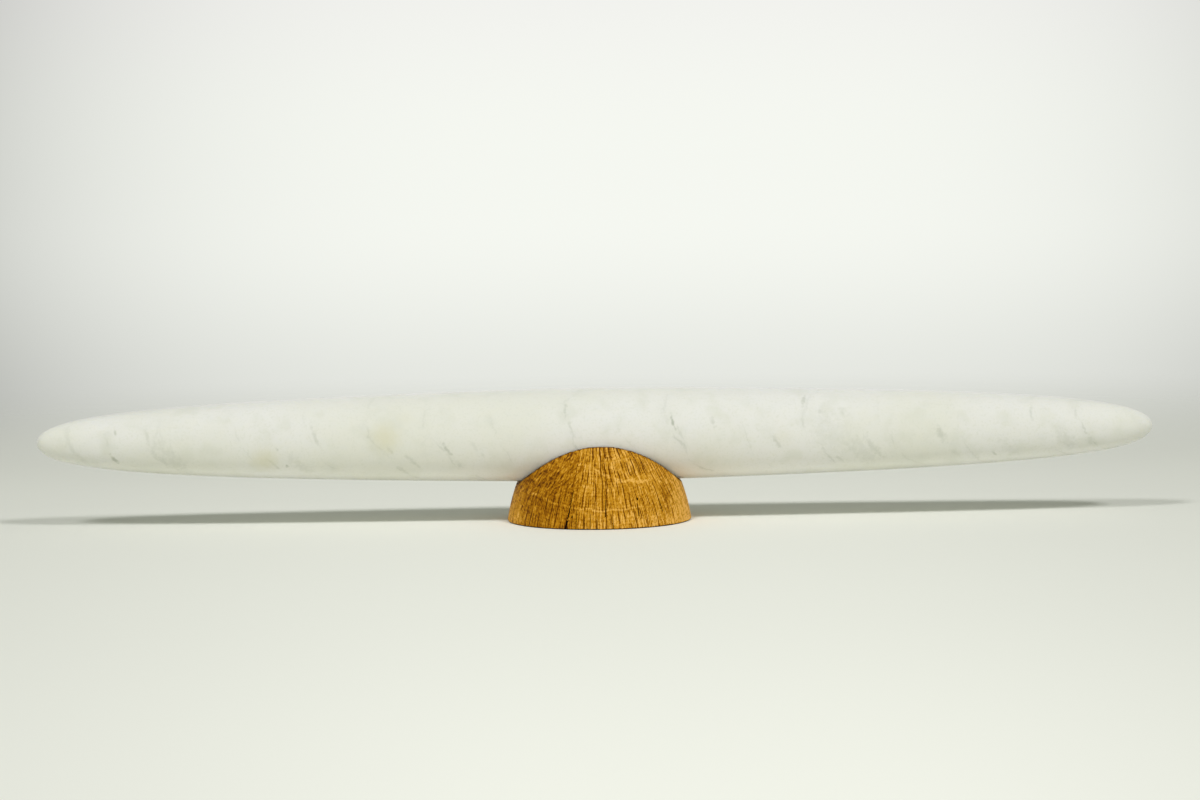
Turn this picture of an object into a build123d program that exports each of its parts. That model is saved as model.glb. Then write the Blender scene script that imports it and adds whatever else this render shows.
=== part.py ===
from build123d import *
import os

# A tapered rolling pin of solid marble, lying in a saddle stand turned from one block of oak.
# All sizes are millimetres. The origin is the middle of the stand's flat underside, +Z is up,
# +X runs along the pin and the stand's front is -Y.

# Driving sizes of the pin
pin_length = 520.0
pin_diameter = 43.6

# Driving sizes of the stand: a dome of oak, sliced by the saddle that holds the pin.
# The dome's side runs up almost flat to a shoulder and then rounds over to its crown.
base_diameter = 85.8
side_lean_degrees = 8.3
shoulder_height = 16.0
shoulder_inset = 3.9
dome_height = 40.0
oak_under_pin = 17.9
base_edge_round = 0.4
saddle_edge_round = 0.8

# The running clearance all round the pin where it lies in the saddle
saddle_clearance = 0.2

# How far the cutter that makes the saddle runs past the oak
cut_overrun = 5.0

# The curve's guide points for half of the pin's outline, from its thick middle to its tip.
# The first number is a share of half the length, the second a share of the full radius.
# The first two keep the middle smooth, and the last two give the tip its round nose.
pin_outline_shares = [
    (0.0, 1.0),
    (0.15, 1.0),
    (0.50, 0.88),
    (0.92, 0.80),
    (0.97, 0.565),
    (1.0, 0.22),
    (1.0, 0.0),
]

pin_radius = pin_diameter / 2
base_radius = base_diameter / 2
saddle_radius = pin_radius + saddle_clearance
axis_height = oak_under_pin + saddle_radius


def marble_pin():
    """The solid bar: one smooth outline, the same both ways, turned about the pin's own axis."""
    guides = [(x * pin_length / 2, r * pin_radius) for x, r in pin_outline_shares]
    right_half = Bezier(*guides)
    left_half = Bezier(*[(-x, r) for x, r in reversed(guides)])
    axis_line = Line(right_half @ 1, left_half @ 0)
    profile = make_face(left_half + right_half + axis_line)
    return Pos(0, 0, axis_height) * revolve(profile, Axis.X)


def saddle_cutter():
    """A round-bottomed channel along the pin, open straight up so that the pin lifts out."""
    left = (-saddle_radius, axis_height)
    right = (saddle_radius, axis_height)
    open_top = max(dome_height, axis_height) + cut_overrun
    floor = ThreePointArc(left, (0, oak_under_pin), right)
    walls = Polyline(right, (saddle_radius, open_top), (-saddle_radius, open_top), left)
    section = make_face(Plane.YZ * (floor + walls))
    return extrude(section, amount=base_radius + cut_overrun, both=True)


def oak_stand():
    """The dome: a flat base, a side that leans in a little, a rounded top, and the saddle."""
    foot = (base_radius, 0)
    shoulder = (base_radius - shoulder_inset, shoulder_height)
    crown = (0, dome_height)
    lean = Vector(0, 1).rotate(Axis.Z, side_lean_degrees)
    side = TangentArc(foot, shoulder, tangent=lean)
    top = TangentArc(shoulder, crown, tangent=side % 1)
    profile = make_face(Plane.XZ * (side + top + Polyline(crown, (0, 0), foot)))
    dome = revolve(profile, Axis.Z)
    cutter = saddle_cutter()
    stand = dome - cutter
    stand = fillet(new_edges(dome, cutter, combined=stand), saddle_edge_round)
    foot_edge = stand.faces().sort_by(Axis.Z)[0].edges()
    return fillet(foot_edge, base_edge_round)


os.makedirs("parts", exist_ok=True)
export_step(marble_pin(), "parts/marble_pin.step")
export_step(oak_stand(), "parts/oak_stand.step")
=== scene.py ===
import math
import bpy
from mathutils import Matrix, Vector


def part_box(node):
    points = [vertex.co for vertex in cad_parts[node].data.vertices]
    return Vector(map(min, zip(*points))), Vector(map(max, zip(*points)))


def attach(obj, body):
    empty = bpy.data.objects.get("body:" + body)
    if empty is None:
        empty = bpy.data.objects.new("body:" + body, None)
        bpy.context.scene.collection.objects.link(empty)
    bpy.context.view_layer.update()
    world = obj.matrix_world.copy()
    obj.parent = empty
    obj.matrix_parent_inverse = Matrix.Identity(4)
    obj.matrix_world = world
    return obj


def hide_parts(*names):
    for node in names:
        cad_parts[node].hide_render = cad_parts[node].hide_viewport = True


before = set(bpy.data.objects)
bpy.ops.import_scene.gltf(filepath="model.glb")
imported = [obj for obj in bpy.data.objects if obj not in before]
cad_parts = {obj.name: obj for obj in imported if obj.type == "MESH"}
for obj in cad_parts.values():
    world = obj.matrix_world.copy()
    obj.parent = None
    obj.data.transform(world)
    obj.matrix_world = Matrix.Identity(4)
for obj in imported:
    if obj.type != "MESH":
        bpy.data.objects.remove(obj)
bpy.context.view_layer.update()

# The camera stands about a metre and a half in front of the stand, a little to its left and
# a little above, with a long lens, and is rolled slightly so that the pin rises to the right.
picture_width_px = 1200
focal_length_px = 3223
sensor_width_mm = 36.0
camera_distance = 1.5
camera_azimuth = math.radians(-2.4)
camera_height = math.radians(4.43)
camera_roll = math.radians(-0.72)
aim = Vector((0.0009, 0.0, 0.0558))


def direction(azimuth, height):
    """From the object towards a place at this azimuth, where 0 is the front, and this height."""
    return Vector((
        math.sin(azimuth) * math.cos(height),
        -math.cos(azimuth) * math.cos(height),
        math.sin(height),
    ))


camera_data = bpy.data.cameras.new("camera")
camera_data.sensor_width = sensor_width_mm
camera_data.lens = sensor_width_mm * focal_length_px / picture_width_px
camera = bpy.data.objects.new("camera", camera_data)
bpy.context.scene.collection.objects.link(camera)
towards_camera = direction(camera_azimuth, camera_height)
level = (-towards_camera).to_track_quat("-Z", "Y").to_matrix().to_4x4()
rolled = level @ Matrix.Rotation(camera_roll, 4, "Z")
camera.matrix_world = Matrix.Translation(aim + camera_distance * towards_camera) @ rolled
bpy.context.scene.camera = camera
bpy.context.scene.view_settings.view_transform = "Standard"

# The floor is one plain pale surface, a wide disc under the stand. Nearby it takes the lamps'
# shadows. To the camera and in reflections it carries painted shade, like paper in a studio,
# darker to the sides and in bands from front to back, and further off it fades into the room.
# For the light that it throws back it has painted shade too, darker far from the stand.
floor_radius = 6.0
floor_steps_round = 96
floor_white = (0.97, 0.97, 0.90)
floor_shade = (0.58, 0.58, 0.52)
floor_white_seen = (1.0, 1.0, 0.94)
shade_start = 0.15
shade_end = 0.55
fade_centre = (0.0, -0.5, 0.0)
fade_start = 0.75
fade_end = 1.5
side_start = 0.05
side_end = 0.4
side_light = 0.87
side_widening = 0.65
least_widening = 0.5
depth_front = -0.6
depth_back = 1.4
depth_lights = [
    (0.0, 0.95),
    (0.16, 0.93),
    (0.27, 0.92),
    (0.36, 0.89),
    (0.47, 0.85),
    (1.0, 0.95),
]


def put(tree, target, value):
    """Sets an input to a number, a vector or a colour, or links another node's output to it."""
    if isinstance(value, bpy.types.NodeSocket):
        tree.links.new(value, target)
    elif target.type == "RGBA":
        target.default_value = (*value, 1.0)
    else:
        target.default_value = value


def add(tree, kind, inputs=None, **settings):
    """Adds a node, sets its inputs by their number or name, and gives its first output."""
    made = tree.nodes.new("ShaderNode" + kind)
    for name, value in settings.items():
        setattr(made, name, value)
    for name, value in (inputs or {}).items():
        put(tree, made.inputs[name], value)
    return made.outputs[0]


def maths(tree, operation, *values):
    """A Math node on one, two or three values."""
    return add(tree, "Math", dict(enumerate(values)), operation=operation)


def total(tree, *values):
    """The sum of the values."""
    result = values[0]
    for value in values[1:]:
        result = maths(tree, "ADD", result, value)
    return result


def product(tree, *values):
    """The values multiplied together."""
    result = values[0]
    for value in values[1:]:
        result = maths(tree, "MULTIPLY", result, value)
    return result


def vector_maths(tree, operation, *values):
    """A Vector Math node. Dot products, lengths and distances come from its second output."""
    out = add(tree, "VectorMath", dict(enumerate(values)), operation=operation)
    return out.node.outputs["Value"] if operation in ("DOT_PRODUCT", "LENGTH", "DISTANCE") else out


def vector_scaled(tree, vector, amount):
    """A vector or a colour times one amount."""
    out = vector_maths(tree, "SCALE", vector)
    put(tree, out.node.inputs["Scale"], amount)
    return out


def split(tree, vector):
    """A vector's outputs X, Y and Z."""
    return add(tree, "SeparateXYZ", {0: vector}).node.outputs


def ease(tree, value, low, high, start=0.0, end=1.0):
    """Turns a value between low and high softly into one between start and end."""
    inputs = {"Value": value, "From Min": low, "From Max": high, "To Min": start, "To Max": end}
    return add(tree, "MapRange", inputs, interpolation_type="SMOOTHSTEP")


def ramp(tree, value, stops):
    """A soft row of colours, given as pairs of place and colour."""
    out = add(tree, "ValToRGB", {"Fac": value})
    band = out.node.color_ramp
    band.interpolation = "EASE"
    while len(band.elements) < len(stops):
        band.elements.new(0.5)
    for element, (position, colour) in zip(band.elements, stops):
        element.position = position
        element.color = (*colour, 1.0)
    return out


def blend(tree, amount, under, over):
    """Lays one colour over another by an amount."""
    out = add(tree, "Mix", {0: amount}, data_type="RGBA")
    put(tree, out.node.inputs[6], under)
    put(tree, out.node.inputs[7], over)
    return out.node.outputs[2]


def looked_at(tree):
    """One where the camera or a reflection looks, and zero for all other light."""
    rays = tree.nodes.new("ShaderNodeLightPath").outputs
    return maths(tree, "MAXIMUM", rays["Is Camera Ray"], rays["Is Glossy Ray"])


def new_finish(name):
    """An empty material with one Principled shader on its output."""
    material = bpy.data.materials.new(name)
    material.use_nodes = True
    tree = material.node_tree
    tree.nodes.clear()
    shader = tree.nodes.new("ShaderNodeBsdfPrincipled")
    output = tree.nodes.new("ShaderNodeOutputMaterial")
    tree.links.new(shader.outputs[0], output.inputs["Surface"])
    return material, tree, shader


bpy.ops.object.select_all(action="DESELECT")
bpy.ops.mesh.primitive_circle_add(vertices=floor_steps_round, radius=floor_radius, fill_type="NGON")
floor = bpy.context.object
floor.name = "floor"

floor_paint, tree, shader = new_finish("floor_paint")
shader.inputs["Roughness"].default_value = 0.9
shader.inputs["Specular IOR Level"].default_value = 0.1
floor_place = tree.nodes.new("ShaderNodeTexCoord").outputs["Object"]
floor_parts = split(tree, floor_place)
floor_seen = looked_at(tree)

# The painted shade at the sides spreads out towards the back, and the depth has its own row of painted
# lights
widening = maths(tree, "MULTIPLY_ADD", floor_parts["Y"], side_widening, 1.0)
widening = maths(tree, "MAXIMUM", widening, least_widening)
sideways = maths(tree, "DIVIDE", maths(tree, "ABSOLUTE", floor_parts["X"]), widening)
sideways_light = ease(tree, sideways, side_start, side_end, 1.0, side_light)
depth_range = {"Value": floor_parts["Y"], "From Min": depth_front, "From Max": depth_back}
depth_stops = [(position, (light, light, light)) for position, light in depth_lights]
depth_light = ramp(tree, add(tree, "MapRange", depth_range), depth_stops)
seen_white = vector_scaled(tree, floor_white_seen, product(tree, sideways_light, depth_light))

# Painted shade: for the light that the floor throws back, its colour darkens away from the stand
from_stand = vector_maths(tree, "DISTANCE", floor_place, (0.0, 0.0, 0.0))
bounce_white = blend(tree, ease(tree, from_stand, shade_start, shade_end), floor_white, floor_shade)
put(tree, shader.inputs["Base Color"], blend(tree, floor_seen, bounce_white, seen_white))
from_fade_centre = vector_maths(tree, "DISTANCE", floor_place, fade_centre)
fade = product(tree, ease(tree, from_fade_centre, fade_start, fade_end), floor_seen)
put(tree, shader.inputs["Alpha"], maths(tree, "SUBTRACT", 1.0, fade))
floor.data.materials.append(floor_paint)

# A pale room fills the lamps' shadows. The camera sees it as a white backdrop with painted
# light and shade: a painted glow behind the pin's middle, and painted shade to both sides,
# above and below. Turned views get less painted shade at the sides. The glow's places are parts of a
# direction of length one.
room_light = 0.31
room_colour = (0.94, 1.0, 0.86)
high_white = (0.935, 0.924, 0.907)
low_white = (0.914, 0.932, 0.876)
high_white_from = 0.09
glow_centre = 0.058
glow_reach = 0.2
glow_fall = 3.5
corner_share = 0.29
darkest_corner = 0.33
turned_start = 0.24
turned_end = 0.45
turned_share = 0.3
above_end = 0.1
above_share = 0.09
below_start = -0.02
below_end = -0.09
below_share = 0.17

world = bpy.data.worlds.new("pale_room")
bpy.context.scene.world = world
world.use_nodes = True
tree = world.node_tree
tree.nodes.clear()
gaze = split(tree, tree.nodes.new("ShaderNodeTexCoord").outputs["Generated"])
from_glow = maths(tree, "DIVIDE", maths(tree, "SUBTRACT", gaze["X"], glow_centre), glow_reach)
corner_dark = maths(tree, "POWER", maths(tree, "ABSOLUTE", from_glow), glow_fall)
corner_dark = maths(tree, "MINIMUM", product(tree, corner_dark, corner_share), darkest_corner)
turned_view = maths(tree, "ABSOLUTE", gaze["X"])
turned_light = ease(tree, turned_view, turned_start, turned_end, 1.0, turned_share)
corner_dark = product(tree, corner_dark, turned_light)
dark_above = ease(tree, gaze["Z"], 0.0, above_end, 0.0, above_share)
dark_below = ease(tree, gaze["Z"], below_end, below_start, below_share, 0.0)
wall_dark = total(tree, corner_dark, dark_above, dark_below)
wall_white = blend(tree, ease(tree, gaze["Z"], 0.0, high_white_from), low_white, high_white)
wall_seen = vector_scaled(tree, wall_white, maths(tree, "SUBTRACT", 1.0, wall_dark))
room = add(tree, "Background", {"Color": room_colour, "Strength": room_light})
backdrop = add(tree, "Background", {"Color": wall_seen, "Strength": 1.0})
both = add(tree, "MixShader", {0: looked_at(tree), 1: room, 2: backdrop})
put(tree, tree.nodes.new("ShaderNodeOutputWorld").inputs["Surface"], both)

# Two soft lamps stand in front, one to each side and high up. They are left out of
# reflections, so no streak of light lies along the stone.
lamp_distance = 4.0
lamp_softness = 0.2
lamp_azimuth = math.radians(34.0)
lamp_height = math.radians(47.0)
lamps = [
    ("lamp_left", -lamp_azimuth, 0.335),
    ("lamp_right", lamp_azimuth, 0.362),
]
for name, azimuth, lamp_share in lamps:
    towards_lamp = direction(azimuth, lamp_height)
    lamp_data = bpy.data.lights.new(name, "AREA")
    lamp_data.shape = "DISK"
    lamp_data.size = lamp_softness * lamp_distance
    lamp_data.energy = lamp_share * math.pi * math.pi * lamp_distance ** 2
    lamp = bpy.data.objects.new(name, lamp_data)
    bpy.context.scene.collection.objects.link(lamp)
    lamp.location = towards_lamp * lamp_distance
    lamp.visible_glossy = False
    lamp.rotation_mode = "QUATERNION"
    lamp.rotation_quaternion = towards_lamp.to_track_quat("Z", "Y")

# The pin is one bar of white marble, thick in the middle and tapered to two round tips. It
# is turned on a lathe and polished to a satin skin. It lies loose in the oak saddle.
pin_low, pin_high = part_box("marble_pin")
pin_half_length = (pin_high[0] - pin_low[0]) / 2
pin_radius = (pin_high[2] - pin_low[2]) / 2
pin_axis_height = (pin_high[2] + pin_low[2]) / 2
pin_outline_shares = [
    (0.0, 1.0),
    (0.15, 1.0),
    (0.50, 0.88),
    (0.92, 0.80),
    (0.97, 0.565),
    (1.0, 0.22),
    (1.0, 0.0),
]
pin_steps_along = 80
pin_steps_round = 128
mm = 0.001
weld_distance = 0.01 * mm


def pin_outline_point(along):
    """A point of the pin's half outline, from 0 at its thick middle to 1 at its tip."""
    order = len(pin_outline_shares) - 1
    weights = [math.comb(order, i) * along ** i * (1 - along) ** (order - i) for i in range(order + 1)]
    length = sum(weight * share[0] for weight, share in zip(weights, pin_outline_shares))
    radius = sum(weight * share[1] for weight, share in zip(weights, pin_outline_shares))
    return length * pin_half_length, radius * pin_radius


def turned(name, outline, centre, axis, steps):
    """A turned piece: one vertex is drawn out along the outline and spun about the axis."""
    bpy.ops.object.select_all(action="DESELECT")
    bpy.ops.mesh.primitive_plane_add(size=mm, location=outline[0])
    piece = bpy.context.object
    piece.name = name
    bpy.ops.object.transform_apply(location=True, rotation=True, scale=True)
    bpy.ops.object.mode_set(mode="EDIT")
    bpy.ops.mesh.merge(type="CENTER")
    for here, there in zip(outline, outline[1:]):
        step = Vector(there) - Vector(here)
        bpy.ops.mesh.extrude_region_move(TRANSFORM_OT_translate={"value": step})
    bpy.ops.mesh.select_all(action="SELECT")
    bpy.ops.mesh.spin(steps=steps, angle=2 * math.pi, center=centre, axis=axis)
    bpy.ops.mesh.select_all(action="SELECT")
    bpy.ops.mesh.remove_doubles(threshold=weld_distance)
    bpy.ops.mesh.normals_make_consistent(inside=False)
    bpy.ops.object.mode_set(mode="OBJECT")
    return piece


half_outline = []
for step in range(pin_steps_along + 1):
    # The sine packs the points towards the tip, where the outline bends most
    along = math.sin(step / pin_steps_along * math.pi / 2)
    half_outline.append(pin_outline_point(along))
pin_outline = [(-x, 0.0, pin_axis_height + r) for x, r in reversed(half_outline)]
pin_outline += [(x, 0.0, pin_axis_height + r) for x, r in half_outline[1:]]
marble_bar = turned("marble_bar", pin_outline, (0, 0, pin_axis_height), (1, 0, 0), pin_steps_round)
bpy.ops.object.shade_smooth()
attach(marble_bar, "pin")
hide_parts("marble_pin")

# The colours of the stone, and its marks, which are placed in millimetres along the pin from
# its middle and in degrees up from its front
stone_white = (0.815, 0.808, 0.775)
stone_cream = (0.786, 0.782, 0.712)
stone_shade = (0.712, 0.716, 0.636)
stone_grey = (0.36, 0.385, 0.30)
stone_warm = (0.70, 0.665, 0.45)

# Each layer of cloud: its colour, the scale and detail of its noise, where in the noise it
# starts and is full, and how strong it is there
cloud_layers = [
    (stone_white, 0.016, 4.0, 0.38, 0.62, 1.0),
    (stone_shade, 0.09, 5.0, 0.48, 0.72, 0.48),
    (stone_shade, 0.9, 4.0, 0.50, 0.70, 0.36),
]

# The veins are flat sheets that cross the bar on a slant, all nearly parallel. Each has its
# place along the bar, its width, how strong it is, and a seed for the noise that breaks it
sheet_direction = Vector((1.0, -0.87, 0.555)).normalized()
sheet_turn = sheet_direction.to_track_quat("X", "Z").to_euler()
veins = [
    (-214, 0.8, 0.14, 3),
    (-186, 0.6, 0.10, 9),
    (-150, 0.6, 0.10, 15),
    (-117, 0.6, 0.13, 21),
    (-86, 0.9, 0.20, 27),
    (-58, 0.8, 0.18, 33),
    (-30, 0.6, 0.10, 39),
    (6.5, 0.7, 0.30, 45),
    (30, 0.5, 0.10, 51),
    (53, 0.7, 0.24, 57),
    (84, 0.6, 0.12, 63),
    (114.5, 0.8, 0.24, 69),
    (148, 0.6, 0.12, 75),
    (180, 0.6, 0.13, 81),
    (215, 0.6, 0.24, 87),
    (236, 0.6, 0.24, 93),
]
haze_width = 5
haze_share = 0.3

# The top of the bar is almost clean of veins
clean_height = 11.0
clean_share = 0.4

# Smudges are thick spots of such sheets: their place, length and width, and how strong
smudges = [
    (-243.5, -4, 14, 1.6, 0.16),
    (-222.5, 23, 1.6, 0.6, 0.35),
    (-223, -33, 3.0, 1.1, 0.60),
    (-207.8, 15, 4.0, 1.0, 0.20),
    (-203, -24, 9.0, 1.6, 0.24),
    (-196, -32, 16, 4.0, 0.16),
    (-148, -10, 1.0, 0.7, 0.32),
    (-144, -37, 1.3, 1.0, 0.95),
    (-150, -35, 5.0, 0.8, 0.22),
    (-131, 8, 5.0, 0.8, 0.24),
    (-138, -36, 10, 3.0, 0.14),
    (-96.5, -12, 3.0, 0.9, 0.22),
    (-86, -30, 7.0, 1.1, 0.22),
    (-70.5, -12, 4.0, 0.9, 0.44),
    (-65, -34, 3.0, 1.2, 0.20),
    (-58, -8, 3.0, 0.9, 0.12),
    (-54, -20, 2.0, 0.8, 0.16),
    (-16, 36, 4.0, 0.6, 0.30),
    (-13.5, 12, 6.0, 0.6, 0.24),
    (33.4, 18, 4.6, 0.5, 0.66),
    (37.0, 3, 5.0, 0.5, 0.18),
    (52, 18, 2.5, 0.9, 0.26),
    (81, -8, 4.0, 0.9, 0.32),
    (94.5, 50, 5.0, 0.9, 0.36),
    (101.8, 32, 2.0, 1.2, 0.19),
    (112, 32, 2.5, 1.2, 0.16),
    (103, -20, 3.0, 1.0, 0.22),
    (110.2, -36, 3.5, 1.1, 0.28),
    (115.9, -21, 7.0, 2.0, 0.16),
    (126.6, -22, 8.0, 1.8, 0.22),
    (122, -30, 10, 5.0, 0.14),
    (157.8, -5, 5.0, 1.8, 0.30),
    (164.8, -34, 3.0, 1.5, 0.14),
    (183.3, -41, 2.0, 0.9, 0.34),
    (190, -30, 9.0, 3.0, 0.12),
    (216.8, -22, 8.0, 3.5, 0.18),
    (228.9, -26, 4.0, 1.8, 0.22),
    (107, -2, 14, 9.0, 0.09),
    (200.5, 30, 5.0, 0.6, 0.26),
    (221.5, 32, 4.5, 0.5, 0.18),
]
smudge_softness = 1.3

# Two warm spots, where iron has stained the stone, and a few faint ones: their place, how
# far they reach, and how strong
stains = [
    (-98.7, 4, 11, 0.48),
    (-154, -28, 10, 0.46),
    (-90, 30, 6, 0.12),
    (84, -2, 7, 0.16),
    (8, -12, 9, 0.12),
]
stain_fray = 0.15


def place_in_mm(tree, zero_height=0.0):
    """Where a point lies on its own piece, in millimetres, with Z counted from this height."""
    return add(tree, "Mapping", {
        "Vector": tree.nodes.new("ShaderNodeTexCoord").outputs["Object"],
        "Location": (0, 0, -zero_height / mm),
        "Scale": (1 / mm, 1 / mm, 1 / mm),
    })


def noise(tree, where, scale, detail=3.0):
    """Soft noise about a half, with this many features to the millimetre."""
    return add(tree, "TexNoise", {"Vector": where, "Scale": scale, "Detail": detail})


def swing(tree, value, amount):
    """Soft noise turned into plus or minus this amount, more or less."""
    return product(tree, maths(tree, "SUBTRACT", value, 0.5), 2 * amount)


def around_pin(along_mm, angle_degrees):
    """A place on the pin's skin: millimetres along it and degrees up from its front."""
    samples = [pin_outline_point(step / 200) for step in range(201)]
    radius = min(samples, key=lambda point: abs(point[0] - abs(along_mm) * mm))[1] / mm
    angle = math.radians(angle_degrees)
    return Vector((along_mm, -radius * math.cos(angle), radius * math.sin(angle)))


marble, tree, shader = new_finish("white_marble")
stone_place = place_in_mm(tree, pin_axis_height)

stone_colour = stone_cream
for cloud_colour, scale, detail, cloud_start, cloud_full, strength in cloud_layers:
    cloud = ease(tree, noise(tree, stone_place, scale, detail), cloud_start, cloud_full, 0.0, strength)
    stone_colour = blend(tree, cloud, stone_colour, cloud_colour)

wander = swing(tree, noise(tree, stone_place, 0.055), 4.5)
jitter = swing(tree, noise(tree, stone_place, 0.6), 1.1)
across_sheets = vector_maths(tree, "DOT_PRODUCT", stone_place, sheet_direction)
across_sheets = total(tree, across_sheets, wander, jitter)
grey = 0.0
for along_mm, width_mm, strength, seed in veins:
    from_vein = maths(tree, "SUBTRACT", across_sheets, along_mm * sheet_direction.x)
    from_vein = maths(tree, "ABSOLUTE", from_vein)
    line = ease(tree, from_vein, 0.0, width_mm, strength, 0.0)
    haze = ease(tree, from_vein, 0.0, haze_width * width_mm, haze_share * strength, 0.0)
    shifted = vector_maths(tree, "ADD", stone_place, (seed, seed, seed))
    dashes = ease(tree, noise(tree, shifted, 0.09), 0.42, 0.62)
    grey = maths(tree, "MAXIMUM", product(tree, total(tree, line, haze), dashes), grey)
stone_height = split(tree, stone_place)["Z"]
grey = product(tree, grey, ease(tree, stone_height, 0.0, clean_height, 1.0, clean_share))

fray = swing(tree, noise(tree, stone_place, 0.5, 5.0), 1.3)
for along_mm, angle, length_mm, width_mm, strength in smudges:
    within = add(tree, "Mapping", {
        "Vector": stone_place,
        "Location": around_pin(along_mm, angle),
        "Rotation": sheet_turn,
        "Scale": (width_mm, length_mm, length_mm),
    }, vector_type="TEXTURE")
    from_smudge = total(tree, vector_maths(tree, "LENGTH", within), fray)
    smudge = ease(tree, from_smudge, 0.0, smudge_softness, strength, 0.0)
    grey = maths(tree, "MAXIMUM", grey, smudge)
stone_colour = blend(tree, grey, stone_colour, stone_grey)

warm = 0.0
for along_mm, angle, size_mm, strength in stains:
    from_stain = vector_maths(tree, "DISTANCE", stone_place, around_pin(along_mm, angle))
    from_stain = maths(tree, "DIVIDE", from_stain, size_mm)
    from_stain = total(tree, from_stain, product(tree, fray, stain_fray))
    warm = maths(tree, "MAXIMUM", ease(tree, from_stain, 0.0, 1.0, strength, 0.0), warm)
stone_colour = blend(tree, warm, stone_colour, stone_warm)
put(tree, shader.inputs["Base Color"], stone_colour)

# The polish lies over the stone as a thin clear coat, and light goes a little way into it
crystals = noise(tree, stone_place, 1.6)
put(tree, shader.inputs["Roughness"], ease(tree, crystals, 0.3, 0.7, 0.44, 0.56))
shader.inputs["IOR"].default_value = 1.5
shader.inputs["Specular IOR Level"].default_value = 0.05
shader.inputs["Coat Weight"].default_value = 1.0
shader.inputs["Coat IOR"].default_value = 1.45
shader.inputs["Coat Roughness"].default_value = 0.16
shader.inputs["Subsurface Weight"].default_value = 0.5
shader.inputs["Subsurface Radius"].default_value = (1.0, 0.95, 0.8)
shader.inputs["Subsurface Scale"].default_value = 5 * mm
stone_relief = add(tree, "Bump", {"Strength": 0.25, "Distance": 0.05 * mm, "Height": crystals})
put(tree, shader.inputs["Normal"], stone_relief)
marble_bar.data.materials.append(marble)

# The stand is one block of oak, turned to a dome with a flat foot. A round saddle is cut
# across it for the pin. Its fibres run from front to back, so both sides show end grain.
base_radius = 42.9 * mm
side_lean = math.radians(8.3)
shoulder_height = 16.0 * mm
shoulder_inset = 3.9 * mm
dome_height = 40.0 * mm
foot_round = 0.4 * mm
foot_round_degrees = (0, 15, 30, 45, 60, 75)
saddle_radius = 22.0 * mm
saddle_floor = 17.9 * mm
saddle_axis_height = saddle_floor + saddle_radius
saddle_steps_round = 192
side_steps = 26
top_steps = 40
dome_steps_round = 144
grid_size = 0.47 * mm
foot_flatness = 0.05 * mm
crease_angle = math.radians(40)

# Drying has opened a few checks in the end grain: one wide, the others hairlines, all painted dark
# inside as shade.
# Each is a thin wedge in millimetres: its foot's place along X, its lowest and highest point,
# its width low down and high up, how far it leans, and its side, -1 for the front.
check_depth = 0.9 * mm
checks = [
    (-17.5, -1.0, 4.3, 1.00, 0.66, 0.24, -1),
    (-16.2, 4.6, 10.6, 0.52, 0.44, 0.25, -1),
    (-14.7, 10.9, 17.6, 0.42, 0.24, 0.23, -1),
    (-14.2, 5.2, 6.4, 0.60, 0.50, 0.20, -1),
    (1.0, 5.6, 13.4, 0.42, 0.22, 0.02, -1),
    (-2.9, -1.0, 6.0, 0.34, 0.16, 0.02, -1),
    (-6.1, -1.0, 7.0, 0.34, 0.16, 0.03, -1),
    (-12.6, -1.0, 8.6, 0.30, 0.16, 0.06, -1),
    (4.6, -1.0, 6.4, 0.32, 0.16, -0.04, -1),
    (16.4, 5.4, 11.4, 0.38, 0.20, -0.15, -1),
    (15.9, 12.6, 13.8, 0.70, 0.60, -0.15, -1),
    (27.6, 6.8, 13.2, 0.34, 0.18, -0.30, -1),
    (-9.0, -1.0, 5.0, 0.28, 0.14, 0.05, -1),
    (-14.0, -1.0, 9.0, 0.34, 0.16, 0.15, 1),
    (-6.0, -1.0, 12.0, 0.34, 0.20, 0.07, 1),
    (2.5, -1.0, 6.0, 0.30, 0.16, 0.0, 1),
    (9.5, -1.0, 9.0, 0.34, 0.18, -0.10, 1),
    (19.0, -1.0, 15.0, 0.60, 0.26, -0.20, 1),
]
core_overrun = 2 * mm


def tangent_arc(start, end, heading):
    """Centre and radius of the arc that leaves start with this heading and ends at the end."""
    inward = Vector((-heading.y, heading.x))
    chord = end - start
    radius = chord.length_squared / (2 * chord.dot(inward))
    return start + radius * inward, radius


def arc_points(centre, start, end, steps):
    """Points along an arc after its start, up to and with its end."""
    first = start - centre
    last = end - centre
    radius = first.length
    low = math.atan2(first.y, first.x)
    high = math.atan2(last.y, last.x)
    angles = [low + (high - low) * (step + 1) / steps for step in range(steps)]
    points = [centre + radius * Vector((math.cos(angle), math.sin(angle))) for angle in angles]
    return [(point.x, 0.0, point.y) for point in points]


foot = Vector((base_radius, 0.0))
shoulder = Vector((base_radius - shoulder_inset, shoulder_height))
crown = Vector((0.0, dome_height))
foot_heading = Vector((-math.sin(side_lean), math.cos(side_lean)))
side_centre, side_radius = tangent_arc(foot, shoulder, foot_heading)
outward = (shoulder - side_centre).normalized()
top_centre, top_radius = tangent_arc(shoulder, crown, Vector((-outward.y, outward.x)))


def side_and_top(lowest, middle, highest):
    """The dome's outline above its foot, or one a little further in with the same centres."""
    side = arc_points(side_centre, lowest, middle, side_steps)
    return side + arc_points(top_centre, middle, highest, top_steps)


round_end = Vector((base_radius - foot_round * math.sin(side_lean), foot_round))
dome_outline = [(0.0, 0.0, 0.0)]
for degrees in foot_round_degrees:
    angle = math.radians(degrees)
    x = round_end.x - foot_round * (1 - math.sin(angle))
    dome_outline.append((x, 0.0, foot_round * (1 - math.cos(angle))))
dome_outline.append((round_end.x, 0.0, round_end.y))
dome_outline += side_and_top(round_end, shoulder, crown)
oak_dome = turned("oak_dome", dome_outline, (0, 0, 0), (0, 0, 1), dome_steps_round)


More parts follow.
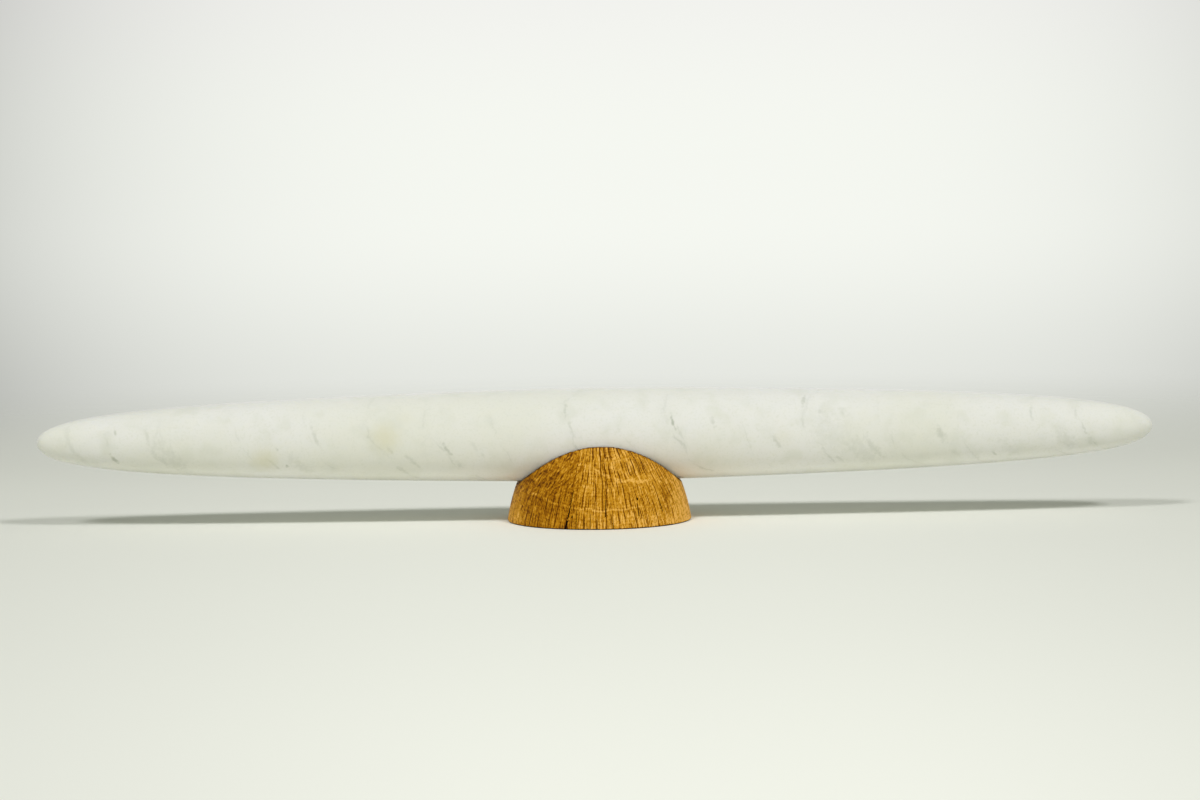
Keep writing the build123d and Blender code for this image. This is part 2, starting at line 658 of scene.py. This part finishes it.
def finish_with(piece, kind, **settings):
    """Adds a modifier to a piece and applies it."""
    bpy.ops.object.select_all(action="DESELECT")
    piece.select_set(True)
    bpy.context.view_layer.objects.active = piece
    modifier = piece.modifiers.new("work", kind)
    for name, value in settings.items():
        setattr(modifier, name, value)
    bpy.ops.object.modifier_apply(modifier=modifier.name)


def carve(piece, cutter):
    """Cuts one solid out of a piece and throws the cutter away."""
    finish_with(piece, "BOOLEAN", operation="DIFFERENCE", object=cutter, solver="EXACT")
    bpy.data.objects.remove(cutter)


bpy.ops.object.select_all(action="DESELECT")
bpy.ops.mesh.primitive_cylinder_add(
    vertices=saddle_steps_round,
    radius=saddle_radius,
    depth=3 * base_radius,
    location=(0, 0, saddle_axis_height),
    rotation=(0, math.pi / 2, 0),
)
carve(oak_dome, bpy.context.object)

# A fine even grid and a light smoothing round the saddle's rim, as sandpaper does. The flat
# foot then becomes one face again.
finish_with(oak_dome, "REMESH", mode="VOXEL", voxel_size=grid_size)
finish_with(oak_dome, "SMOOTH", factor=0.5, iterations=3)
bpy.ops.object.mode_set(mode="EDIT")
bpy.ops.mesh.select_all(action="DESELECT")
bpy.ops.object.mode_set(mode="OBJECT")
for face in oak_dome.data.polygons:
    face.select = face.normal.z < -0.999 and face.center.z < foot_flatness
bpy.ops.object.mode_set(mode="EDIT")
bpy.ops.mesh.dissolve_faces()
bpy.ops.object.mode_set(mode="OBJECT")


def check_wedge(foot_x, low, high, low_width, high_width, lean, side):
    """One thin wedge: a block narrowed at its top, leaned over and put in its place."""
    rise = (high - low) * mm
    bpy.ops.object.select_all(action="DESELECT")
    bpy.ops.mesh.primitive_cube_add(
        size=1.0,
        location=(0, 0, rise / 2),
        scale=(low_width * mm, base_radius, rise),
    )
    wedge = bpy.context.object
    bpy.ops.object.transform_apply(location=True, rotation=True, scale=True)
    for part in (*wedge.data.edges, *wedge.data.polygons):
        part.select = False
    for vertex in wedge.data.vertices:
        vertex.select = vertex.co.z > rise / 2
    bpy.ops.object.mode_set(mode="EDIT")
    bpy.ops.transform.resize(value=(high_width / low_width, 1, 1), center_override=(0, 0, rise))
    bpy.ops.mesh.select_all(action="SELECT")
    bpy.ops.transform.rotate(value=-math.atan(lean), orient_axis="Y", center_override=(0, 0, 0))
    bpy.ops.transform.translate(value=(foot_x * mm, side * base_radius, low * mm))
    bpy.ops.object.mode_set(mode="OBJECT")
    return wedge


# The wedges lose their inner part to a dome a little smaller than the stand, and what is
# left of them is cut out of the wood, so no check is deeper than check_depth
wedges = [check_wedge(*check) for check in checks]
for wedge in wedges:
    wedge.select_set(True)
bpy.context.view_layer.objects.active = wedges[0]
bpy.ops.object.join()
core_foot = Vector((base_radius - check_depth, 0.0))
core_shoulder = side_centre + (side_radius - check_depth) * outward
core_crown = Vector((0.0, dome_height - check_depth))
core_outline = [(0.0, 0.0, -core_overrun), (core_foot.x, 0.0, -core_overrun)]
core_outline += side_and_top(core_foot, core_shoulder, core_crown)
core_dome = turned("core_dome", core_outline, (0, 0, 0), (0, 0, 1), dome_steps_round)
carve(wedges[0], core_dome)
carve(oak_dome, wedges[0])
bpy.ops.object.shade_smooth_by_angle(angle=crease_angle)
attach(oak_dome, "stand")
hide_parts("oak_stand")

# The colours of the wood, from its palest grain to its darkest, and of the painted shade at the
# saddle's rim and deep in the checks
oak_lightest = (0.84, 0.46, 0.095)
oak_light = (0.64, 0.31, 0.026)
oak_middle = (0.475, 0.205, 0.006)
oak_brown = (0.295, 0.106, 0.002)
oak_dark = (0.12, 0.036, 0.001)
rim_shade_brown = (0.05, 0.022, 0.006)
check_shade_black = (0.012, 0.006, 0.003)

# The rays fan outwards on their way down, steeply at the middle and more aslant to the sides
# and higher up. Each runs on for about a ray_length until another takes over. The year rings
# are arcs about the heart of the tree, a line above the stand along the fibres.
heart_x = -0.5
heart_z = 84.0
lean_reach = 20.0
foot_lean = 0.15
lean_growth = 0.019
ray_length = 10.0
ray_ends = 5.0
bead_spacing = 1.25
ring_spacing = 1.75
ring_share = 0.045
low_ring_radius = 75.5
slope_ring_height = 25.5
slope_ring_drop = 4.5
slope_ring_reach = 7.0

oak, tree, shader = new_finish("oiled_oak")
wood_place = place_in_mm(tree)


def warp(scale, amount):
    """Soft noise in all three directions, this many millimetres either way."""
    cloud = noise(tree, wood_place, scale, 2.0).node.outputs["Color"]
    return vector_scaled(tree, vector_maths(tree, "SUBTRACT", cloud, (0.5, 0.5, 0.5)), 2 * amount)


bent = vector_maths(tree, "ADD", wood_place, warp(0.05, 0.9))
bent = vector_maths(tree, "ADD", bent, warp(0.5, 0.16))
bent_parts = split(tree, bent)
wood_x = bent_parts["X"]
wood_y = bent_parts["Y"]
wood_z = bent_parts["Z"]
aside = maths(tree, "SUBTRACT", wood_x, heart_x)
lean = maths(tree, "TANH", product(tree, aside, 1 / lean_reach))


def spread(height):
    """How far a ray at the far side has moved outward on its way down from this height."""
    return product(tree, height, maths(tree, "MULTIPLY_ADD", height, lean_growth / 2, foot_lean))


streak_place = add(tree, "Mapping", {"Vector": bent, "Scale": (1, 0.05, 0.1)})
ragged = total(tree, wood_z, swing(tree, noise(tree, streak_place, 0.8, 1.0), ray_ends))
ray_row = maths(tree, "FLOOR", product(tree, ragged, 1 / ray_length))
ray_middle = product(tree, total(tree, ray_row, 0.5), ray_length)
moved_out = maths(tree, "SUBTRACT", spread(wood_z), spread(ray_middle))
ray_place = maths(tree, "MULTIPLY_ADD", moved_out, lean, aside)
below_heart = maths(tree, "SUBTRACT", heart_z, wood_z)
from_heart = maths(tree, "MULTIPLY_ADD", aside, aside, product(tree, below_heart, below_heart))
from_heart = maths(tree, "SQRT", from_heart)


def ray_noise(across, along, detail, seed=0.0):
    """Noise drawn out along the rays and the fibres: features per millimetre, both ways."""
    where = add(tree, "CombineXYZ", {
        "X": total(tree, product(tree, ray_place, across), seed),
        "Y": product(tree, from_heart, along),
        "Z": product(tree, wood_y, 0.02),
    })
    return noise(tree, where, 1.0, detail)


def ray_lines(spacing, half_width, seed):
    """Thin dark lines, one between each two cells of a row that runs across the rays."""
    drift = swing(tree, ray_noise(0.5 / spacing, 0.06, 1.0, seed), 0.35)
    cells = total(tree, product(tree, ray_place, 1 / spacing), drift, seed)
    settings = {"voronoi_dimensions": "1D", "feature": "DISTANCE_TO_EDGE"}
    edge = add(tree, "TexVoronoi", {"W": cells, "Scale": 1.0, "Randomness": 0.75}, **settings)
    return ease(tree, edge, 0.0, half_width / spacing, 1.0, 0.0)


def left_to_right(low, high, start=0.0, end=1.0):
    """Goes softly from start to end between two places along X, in millimetres."""
    return ease(tree, wood_x, low, high, start, end)


def foot_to_top(low, high, start=0.0, end=1.0):
    """Goes softly from start to end between two heights, in millimetres."""
    return ease(tree, wood_z, low, high, start, end)


def patch(x, z, half_width, half_height, edge):
    """A soft spot on the front: its middle, its half sizes, and how soft its rim is."""
    off_x = product(tree, maths(tree, "SUBTRACT", wood_x, x), 1 / half_width)
    off_z = product(tree, maths(tree, "SUBTRACT", wood_z, z), 1 / half_height)
    off = total(tree, product(tree, off_x, off_x), product(tree, off_z, off_z))
    return ease(tree, maths(tree, "SQRT", off), 1 - edge, 1 + edge, 1.0, 0.0)


# The rays are dark lines in three strengths. They are darkest at the foot and high up, fade
# where the grain curls at the upper left and on the far sides, and the year rings break the
# finer ones into beads.
curly = product(tree, left_to_right(-13.0, -5.0, 1.0, 0.0), foot_to_top(11.0, 17.0))
far_sides = total(tree, left_to_right(-38.5, -33.0, 1.0, 0.0), left_to_right(30.0, 37.0))
ray_share = product(
    tree,
    foot_to_top(3.0, 14.0, 1.25, 1.05),
    ease(tree, curly, 0.0, 1.0, 1.0, 0.4),
    foot_to_top(18.0, 27.0, 1.0, 1.45),
    left_to_right(-22.0, -12.0, 0.85, 1.0),
    ease(tree, far_sides, 0.0, 1.0, 1.0, 0.35),
)
bead_drift = swing(tree, noise(tree, wood_place, 0.35, 2.0), 7.0)
bead_phase = total(tree, product(tree, from_heart, 2 * math.pi / bead_spacing), bead_drift)
beads = total(tree, 0.72, product(tree, maths(tree, "SINE", bead_phase), 0.28))
strong_gaps = ease(tree, ray_noise(0.30, 0.12, 2.0, 7.0), 0.42, 0.56)
medium_gaps = ease(tree, ray_noise(0.55, 0.18, 2.0, 31.0), 0.38, 0.58)
fine_gaps = ease(tree, ray_noise(0.90, 0.40, 2.0, 57.0), 0.36, 0.60)
strong_share = left_to_right(17.0, 25.0, 1.0, 0.45)
strong = product(tree, ray_lines(2.6, 0.34, 3.0), strong_gaps, strong_share, ray_share, -0.85)
medium = product(tree, ray_lines(1.35, 0.25, 17.0), medium_gaps, ray_share, beads, -0.74)
fine = product(tree, ray_lines(0.8, 0.20, 41.0), fine_gaps, ray_share, beads, -0.52)
fibres = swing(tree, ray_noise(1.5, 0.45, 3.0, 71.0), 0.40)
bright = ease(tree, ray_noise(0.8, 0.16, 2.0, 83.0), 0.50, 0.66, 0.0, 0.20)

# Curly grain: short dark specks and pale worms between them, which lean to the right
speck_place = add(tree, "Mapping", {
    "Vector": bent,
    "Rotation": (0, math.radians(38), 0),
    "Scale": (0.75, 20.0, 2.6),
}, vector_type="TEXTURE")
worm_place = vector_maths(tree, "ADD", speck_place, (9.0, 0.0, 9.0))
specks = ease(tree, noise(tree, speck_place, 1.1, 2.0), 0.48, 0.60, 0.0, -0.34)
worms = ease(tree, noise(tree, worm_place, 1.1, 2.0), 0.52, 0.64, 0.0, 0.20)
curl = product(tree, total(tree, specks, worms), ease(tree, curly, 0.0, 1.0, 0.22, 1.0))

# Pores and blotches, which run on far along the fibres
pore_place = add(tree, "Mapping", {"Vector": bent, "Scale": (1.0, 0.05, 1.0)})
pores = ease(tree, noise(tree, pore_place, 1.3, 2.0), 0.56, 0.66, 0.0, -0.22)
blotches = swing(tree, noise(tree, pore_place, 0.09, 3.0), 0.20)

# Broad shading of the wood: a dark left third with two darker patches, ochre far sides and a
# paler foot
dark_left = left_to_right(-20.0, -3.0, -0.31, 0.0)
dark_left = maths(tree, "MINIMUM", dark_left, product(tree, patch(-29.0, 8.5, 7.5, 8.0, 0.5), -0.40))
dark_left = maths(tree, "MINIMUM", dark_left, product(tree, patch(-23.5, 20.0, 5.5, 4.0, 0.6), -0.38))
ochre_sides = total(tree, product(tree, far_sides, 0.10), left_to_right(-39.0, -34.0, 0.12, 0.0))
pale_foot = foot_to_top(2.0, 11.0, 0.10, 0.0)

# Faint rings everywhere, and two pale ones across the front: an arc low down, and one that
# slopes down to the right
ring_wave = swing(tree, noise(tree, pore_place, 0.14, 2.0), 1.8)
fine_wave = swing(tree, noise(tree, pore_place, 0.5, 2.0), 0.5)
ring_phase = product(tree, total(tree, from_heart, ring_wave), 2 * math.pi / ring_spacing)
faint_rings = product(tree, maths(tree, "SINE", ring_phase), ring_share)
from_low_ring = total(tree, from_heart, ring_wave, fine_wave, -low_ring_radius)
low_ring = product(
    tree,
    ease(tree, maths(tree, "ABSOLUTE", from_low_ring), 0.20, 0.80, 0.24, 0.0),
    left_to_right(11.0, 18.0, 1.0, 0.1),
    left_to_right(-36.0, -31.0),
)
slope = maths(tree, "TANH", product(tree, wood_x, 1 / slope_ring_reach))
slope = product(tree, slope, slope_ring_drop)
from_slope_ring = total(tree, wood_z, slope, ring_wave, fine_wave, -slope_ring_height)
slope_ring = product(
    tree,
    ease(tree, maths(tree, "ABSOLUTE", from_slope_ring), 0.3, 0.95, 0.32, 0.0),
    left_to_right(-9.0, -2.0, 0.3, 1.0),
    left_to_right(16.0, 24.0, 1.0, 0.1),
)
ring_gaps = ease(tree, noise(tree, pore_place, 0.45, 2.0), 0.36, 0.52, 0.35, 1.0)
pale_rings = product(tree, maths(tree, "MAXIMUM", low_ring, slope_ring), ring_gaps)

grain = total(tree, strong, medium, fine, fibres, bright, curl, pores)
shading = total(tree, blotches, dark_left, ochre_sides, pale_foot, faint_rings, pale_rings)
tone = total(tree, 0.77, grain, shading)
oak_colour = ramp(tree, tone, [
    (0.0, oak_dark),
    (0.28, oak_brown),
    (0.55, oak_middle),
    (0.78, oak_light),
    (1.0, oak_lightest),
])

true_parts = split(tree, wood_place)
true_height = true_parts["Z"]
level_place = add(tree, "CombineXYZ", {"X": true_parts["X"], "Y": true_parts["Y"]})
from_axis = vector_maths(tree, "LENGTH", level_place)


def depth_under(centre, radius):
    """How deep a place lies under an arc of the dome's outline, in millimetres."""
    from_centre = add(tree, "CombineXYZ", {
        "X": maths(tree, "SUBTRACT", from_axis, centre.x / mm),
        "Z": maths(tree, "SUBTRACT", true_height, centre.y / mm),
    })
    return maths(tree, "SUBTRACT", radius / mm, vector_maths(tree, "LENGTH", from_centre))


on_top = maths(tree, "GREATER_THAN", true_height, shoulder_height / mm)
on_side = maths(tree, "SUBTRACT", 1.0, on_top)
side_depth = product(tree, depth_under(side_centre, side_radius), on_side)
top_depth = product(tree, depth_under(top_centre, top_radius), on_top)
skin_depth = total(tree, side_depth, top_depth)
saddle_place = add(tree, "CombineXYZ", {
    "Y": true_parts["Y"],
    "Z": maths(tree, "SUBTRACT", true_height, saddle_axis_height / mm),
})
from_saddle = maths(tree, "SUBTRACT", vector_maths(tree, "LENGTH", saddle_place), saddle_radius / mm)
# Painted shade: deep in the checks the wood is painted near black
check_shade = product(
    tree,
    ease(tree, skin_depth, 0.08, 0.22),
    ease(tree, from_saddle, 0.3, 0.6),
    ease(tree, true_height, 0.02, 0.06),
)

# Painted shade: the saddle's rim is darker, for the shadow in the gap where the pin lies
rim_shade_start = ease(tree, from_saddle, 0.02, 0.12)
rim_shade_end = ease(tree, from_saddle, 0.45, 1.3, 0.9, 0.0)
oak_colour = blend(tree, product(tree, rim_shade_start, rim_shade_end), oak_colour, rim_shade_brown)
put(tree, shader.inputs["Base Color"], blend(tree, check_shade, oak_colour, check_shade_black))
shader.inputs["Roughness"].default_value = 0.55
shader.inputs["Specular IOR Level"].default_value = 0.06
wood_relief = add(tree, "Bump", {"Strength": 0.5, "Distance": 0.12 * mm, "Height": tone})
put(tree, shader.inputs["Normal"], wood_relief)
oak_dome.data.materials.append(oak)
